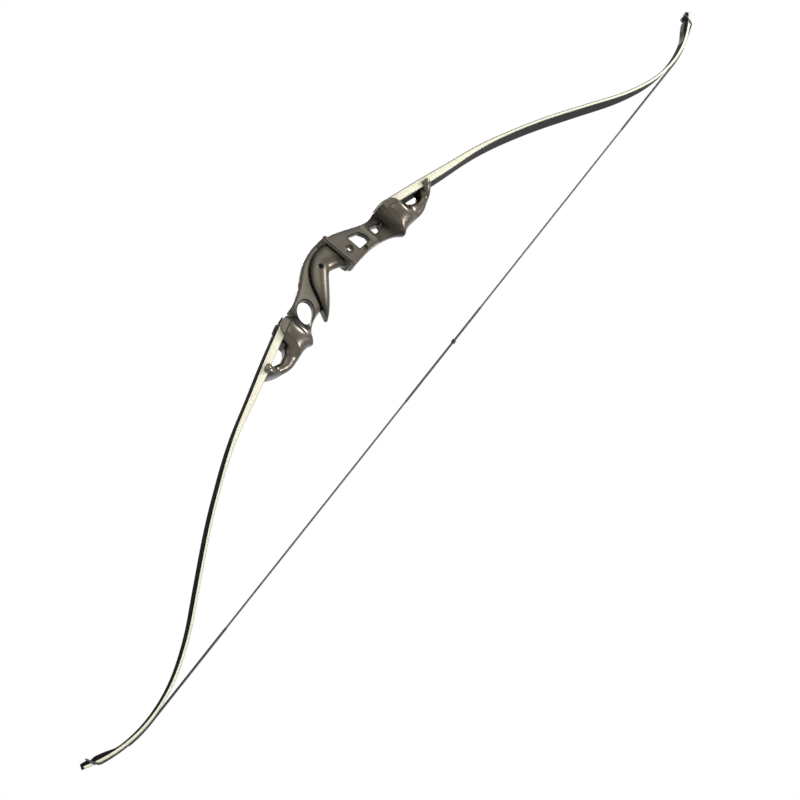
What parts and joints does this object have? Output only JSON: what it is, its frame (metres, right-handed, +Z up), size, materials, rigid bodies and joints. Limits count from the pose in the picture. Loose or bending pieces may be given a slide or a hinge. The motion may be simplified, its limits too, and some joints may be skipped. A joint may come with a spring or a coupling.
{
  "type": "recurve bow",
  "caption": "Strung three-piece takedown recurve bow with a cut-out metal riser, bolt-on laminated limbs and a looped string.",
  "frame": {"origin": "pivot point of the grip, the deepest point of its throat, on the bow's centre plane", "axes": "+Z up along the strung bow, +X towards the archer and the string, -Y the side with the sight window"},
  "size_m": [0.2391, 0.06, 1.4568],
  "materials": {
    "riser_paint": "satin metallic paint",
    "grip_plastic": "satin metallic paint",
    "black_steel": "black oxide",
    "bright_steel": "turned",
    "brass": "turned",
    "limb_core": "clear lacquer",
    "limb_glass": "satin",
    "tip_overlay": "satin",
    "pad_rubber": "matt",
    "strand": "waxed",
    "serving": "wound thread"
  },
  "bodies": {
    "bow": {"riser": "riser_paint", "grip": "grip_plastic", "grip_screw": "black_steel", "grip_nut": "black_steel", "plunger_bushing": "brass", "sight_bushing": "brass", "stabiliser_bushing": "bright_steel", "upper_limb_core": "limb_core", "upper_back_glass": "limb_glass", "upper_belly_glass": "limb_glass", "upper_tip_overlay": "tip_overlay", "upper_limb_sleeve": "brass", "upper_riser_insert": "brass", "upper_locating_pin": "bright_steel", "upper_limb_pad": "pad_rubber", "lower_limb_core": "limb_core", "lower_back_glass": "limb_glass", "lower_belly_glass": "limb_glass", "lower_tip_overlay": "tip_overlay", "lower_limb_sleeve": "brass", "lower_riser_insert": "brass", "lower_locating_pin": "bright_steel", "lower_limb_pad": "pad_rubber", "bowstring": "strand", "upper_string_loop": "serving", "lower_string_loop": "serving", "upper_end_serving": "serving", "lower_end_serving": "serving", "centre_serving": "serving", "nock_point": "brass"},
    "upper_washer": {"upper_cup_washer": "black_steel"},
    "upper_bolt": {"upper_limb_bolt": "black_steel"},
    "lower_washer": {"lower_cup_washer": "black_steel"},
    "lower_bolt": {"lower_limb_bolt": "black_steel"}
  },
  "joints": [
    {"name": "upper_bolt_travel", "type": "slide", "parent": "bow", "child": "upper_washer", "axis": [-0.9613, 0, 0.2756], "range_m": [0, 0.0125]},
    {"name": "upper_bolt_turn", "type": "hinge", "parent": "upper_washer", "child": "upper_bolt", "pos_m": [0.00729, 0, 0.13234], "axis": [-0.9613, 0, 0.2756], "range_deg": [0, 4320]},
    {"name": "lower_bolt_travel", "type": "slide", "parent": "bow", "child": "lower_washer", "axis": [-0.9613, 0, -0.2756], "range_m": [0, 0.0125]},
    {"name": "lower_bolt_turn", "type": "hinge", "parent": "lower_washer", "child": "lower_bolt", "pos_m": [0.00729, 0, -0.11434], "axis": [-0.9613, 0, -0.2756], "range_deg": [0, 4320]}
  ],
  "couplings": [
    {"joint": "upper_bolt_turn", "follows": "upper_bolt_travel", "rad_per_m": 5026.5},
    {"joint": "lower_bolt_turn", "follows": "lower_bolt_travel", "rad_per_m": 5026.5}
  ]
}
